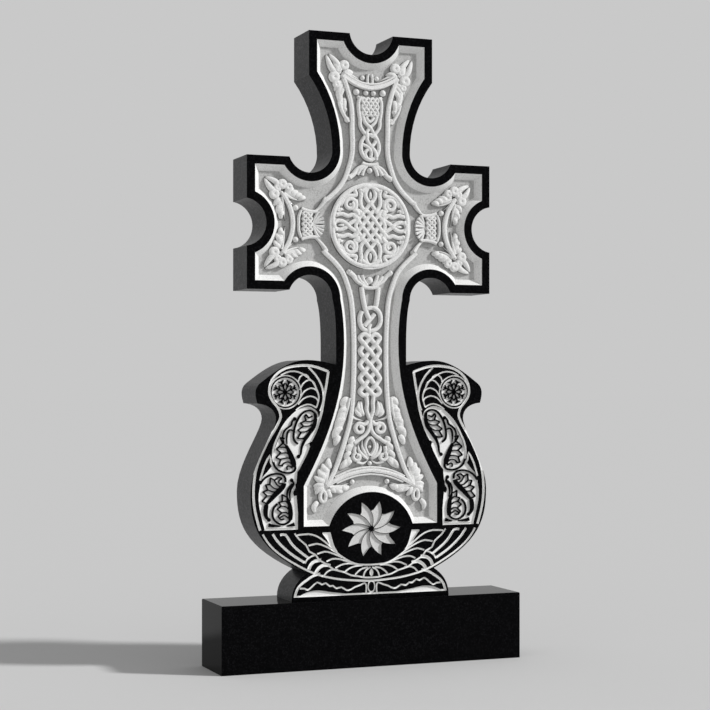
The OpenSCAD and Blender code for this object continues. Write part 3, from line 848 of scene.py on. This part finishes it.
leaf_ribs = [
    [(135, 550), (144, 546), (157, 547)], [(139, 540), (149, 536), (162, 536)],
    [(145, 530), (155, 524), (168, 523)], [(151, 519), (158, 511), (168, 508)],
    [(199, 492), (206, 497), (212, 505)], [(194, 480), (203, 489), (216, 490)],
    [(190, 468), (199, 477), (214, 477)], [(187, 458), (196, 466), (214, 464)],
    [(186, 450), (195, 457), (205, 456), (212, 449)], [(187, 444), (196, 449), (200, 445), (198, 440)],
    [(211, 402), (222, 407), (229, 418)], [(215, 398), (229, 400), (239, 409)],
    [(222, 392), (234, 393), (245, 398)], [(230, 384), (240, 384), (247, 384)],
    [(211, 421), (218, 416), (217, 411), (211, 411)],
    [(195, 362), (202, 371), (210, 371)], [(194, 352), (203, 359), (214, 361)],
    [(194, 341), (203, 347), (213, 346)], [(197, 334), (206, 340), (215, 336)],
]
corners = [[(182, 320), (190, 318), (200, 316.5)], [(242, 320), (231, 318), (214, 316.5)]]
dots = [(172, 469), (181, 552), (241, 331), (188, 417)]
TAPERS["spine"] = lambda t: 0.55 + 0.6 * math.sin(math.pi * min(1.0, 0.25 + 0.75 * t))


def wing_lines():
    lines = [stroke(p, w, "spine", cut_depth, square=True) for p, w in spines]
    lines += [stroke(p, 4.2, "even", cut_depth, square=True) for p in outlines]
    for p in edges:
        for a, b in zip(p, p[1:]):
            lines.append(stroke([a, b], 3.0, "even", cut_depth, square=True, step=30))
    lines += [stroke(p, 2.6, "even", cut_depth, square=True, step=3) for p in leaf_ribs]
    lines += [stroke(p, 8.5, "tail", cut_depth, square=True) for p in corners]
    lines += [ring(p, 1.8, None, 4.0, cut_depth) for p in dots]
    return both_sides(lines)


motif("wing_lines", wing_lines(), depth=cut_depth, material=polished)

# %% [markdown]
# ## The carved slab
# The slab copy stands in for the plain one. Its faces are sorted by how deep they lie: the front is
# polished, slopes and pockets are milled, the sunk ground is pecked and darkened as painted shade,
# the shallow cuts are paler as painted light, and the sides and the back are honed. The petals of
# the rosette are as shallow as the cut lines, so they are taken out by their place and darkened as
# painted shade.

# %% Carve the slab
def copy_of(node):
    """A merged copy of a frame node as a bmesh."""
    mesh = bmesh.new()
    mesh.from_mesh(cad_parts[node].data)
    bmesh.ops.remove_doubles(mesh, verts=mesh.verts, dist=0.000005)
    return mesh


def cut_into(piece, tools):
    """Takes every tool out of the piece, one Boolean each, and drops the tools."""
    for tool in tools:
        cut = piece.modifiers.new("cut", "BOOLEAN")
        cut.operation = "DIFFERENCE"
        cut.solver = "MANIFOLD"
        cut.object = tool
    shaped = piece.evaluated_get(bpy.context.evaluated_depsgraph_get())
    piece_mesh = bpy.data.meshes.new_from_object(shaped)
    piece.modifiers.clear()
    piece.data = piece_mesh
    for tool in tools:
        bpy.data.objects.remove(tool)


rosette_centre = Vector((0.0, foot_z + 155.0))
rosette_reach = 76.0                     # clears the petal tips and stays inside the polished disc


def in_rosette(face):
    """Whether a face belongs to the petals, by how near the rosette's centre it lies."""
    middle = face.calc_center_median() / MM
    return (Vector((middle.x, middle.z)) - rosette_centre).length < rosette_reach


def finish_of(face):
    """0 polished, 1 milled, 2 pecked with painted shade, 3 line cut with painted light, 4 honed, 5 petals
    with painted shade, by how deep the corners lie.
    """
    depths = [(v.co.y - face_y) / MM for v in face.verts]
    if max(depths) < 0.05:
        return 0
    if max(depths) > panel_depth + 1.5:
        return 4
    # Painted light on the shallow cuts, painted shade on the rosette's petals.
    if max(depths) < cut_depth + 0.3:
        return 5 if in_rosette(face) else 3
    # Painted shade: the sunk panel ground and the boss ground get the darker pecked finish.
    on_panel_ground = min(depths) > panel_depth - 0.05
    on_boss = boss_depth - 0.05 < min(depths) and max(depths) < boss_depth + 0.05
    return 2 if on_panel_ground or on_boss else 1


slab_mesh = copy_of("slab")
slab_data = bpy.data.meshes.new("carved_slab")
slab_mesh.to_mesh(slab_data)
slab_mesh.free()
carved = bpy.data.objects.new("carved_slab", slab_data)
bpy.context.scene.collection.objects.link(carved)

tools = []
for side in (1, -1):
    mesh = field_tool(side)
    data = bpy.data.meshes.new("tool")
    mesh.to_mesh(data)
    mesh.free()
    tool = bpy.data.objects.new("tool", data)
    bpy.context.scene.collection.objects.link(tool)
    tools.append(tool)
print("cutting with", len(tools), "tools")
before = len(carved.data.polygons)
cut_into(carved, tools)
print("slab faces", before, "->", len(carved.data.polygons))

carved.data.materials.clear()
for finish in (polished, milled, pecked_painted_shade, line_cut_painted_light, honed, petal_painted_shade):
    carved.data.materials.append(finish)
mesh = bmesh.new()
mesh.from_mesh(carved.data)
for face in mesh.faces:
    face.material_index = finish_of(face)
    face.smooth = False
mesh.to_mesh(carved.data)
mesh.free()
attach(carved, "root")
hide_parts("slab")

# %% [markdown]
# ## The star in the bird's eye
# Each eye is a pale sunk disc with a star left standing in it at the height of the polish.

# %% Eye stars
def eye_star(x, z, spokes=8, reach=26.5):
    made = []
    for k in range(spokes):
        a = math.radians(360 * (k + 0.5) / spokes)
        ahead = Vector((math.cos(a), math.sin(a)))
        made.append(([(x, z), (x + reach * ahead.x, z + reach * ahead.y)], 3.0))
        for share in (0.48, 0.8):
            root = Vector((x, z)) + ahead * reach * share
            for lean in (-48, 48):
                b = a + math.radians(lean)
                tip = root + Vector((math.cos(b), math.sin(b))) * 8.5 * (1.2 - share * 0.3)
                made.append(([tuple(root), tuple(tip)], 2.4))
    return [stroke(p, w, "even", cut_depth, square=True, step=30) for p, w in made]


motif("eye_stars", both_sides(eye_star(203.5, 461 + foot_z)), depth=cut_depth, material=polished)

# %% [markdown]
# ## The plinth
# The plinth is a plain polished block with its edges eased, which the construction model already
# has, so it only needs its finish.

# %% Plinth finish
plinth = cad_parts["plinth"]
plinth.data.materials.clear()
plinth.data.materials.append(polished)
print("plinth is", plinth.data.materials[0].name)

# %% [markdown]
# ## Floor and light
# A pale floor that runs to the horizon, where it meets a world of the same brightness, gives a
# plain studio. One lamp like a low sun comes from the right and a little in front, so that it
# rakes over the carving, and the even grey world fills the shadows.

# %% Floor
floor_mesh = bmesh.new()
bmesh.ops.create_grid(floor_mesh, x_segments=2, y_segments=2, size=60.0)
floor_data = bpy.data.meshes.new("floor")
floor_mesh.to_mesh(floor_data)
floor_mesh.free()
floor = bpy.data.objects.new("floor", floor_data)
bpy.context.scene.collection.objects.link(floor)
paper = bpy.data.materials.new("matt_studio_paper")
paper.use_nodes = True
paper.node_tree.nodes["Principled BSDF"].inputs["Base Color"].default_value = srgb("#d2d2d2")
paper.node_tree.nodes["Principled BSDF"].inputs["Roughness"].default_value = 0.95
paper.node_tree.nodes["Principled BSDF"].inputs["Specular IOR Level"].default_value = 0.0
floor_data.materials.append(paper)

# %% World and sun
world = bpy.data.worlds.new("studio")
bpy.context.scene.world = world
world.use_nodes = True
sky = world.node_tree
sky.nodes.clear()
path = add_node(sky, "ShaderNodeLightPath")
fill = add_node(sky, "ShaderNodeBackground", {"Color": srgb("#ffffff"), "Strength": 0.42})
seen = add_node(sky, "ShaderNodeBackground", {"Color": srgb("#c9c9c9"), "Strength": 1.0})
direct = add_node(sky, "ShaderNodeMath",
                  {0: path.outputs["Is Camera Ray"], 1: path.outputs["Is Glossy Ray"]},
                  operation="MAXIMUM")
shown = add_node(sky, "ShaderNodeMath", {0: direct.outputs[0], 1: path.outputs["Is Transmission Ray"]},
                 operation="MAXIMUM")
both = add_node(sky, "ShaderNodeMixShader", {"Fac": shown.outputs[0]})
sky.links.new(fill.outputs["Background"], both.inputs[1])
sky.links.new(seen.outputs["Background"], both.inputs[2])
add_node(sky, "ShaderNodeOutputWorld", {"Surface": both.outputs["Shader"]})

sun = bpy.data.lights.new("key", "SUN")
sun.energy = 2.9
sun.angle = math.radians(6)
lamp = bpy.data.objects.new("key", sun)
bpy.context.scene.collection.objects.link(lamp)
towards_lamp = Vector((0.80, -0.50, 0.58))
lamp.rotation_euler = towards_lamp.to_track_quat("Z", "Y").to_euler()
bpy.context.scene.view_settings.view_transform = "Standard"

# %% [markdown]
# ## Camera
# The camera stands left of the stone, a little under half its height, and looks level, so uprights stay
# upright, and a small shift frames the whole stone.

# %% Camera
lens = bpy.data.cameras.new("camera")
lens.lens = 88.52
lens.sensor_width = 36.0
lens.shift_y = 0.041
camera = bpy.data.objects.new("camera", lens)
camera.location = (-1.4579, -3.6775, 0.6287)
camera.rotation_euler = (math.pi / 2, 0.0, math.radians(-21.356))
bpy.context.scene.collection.objects.link(camera)
bpy.context.scene.camera = camera
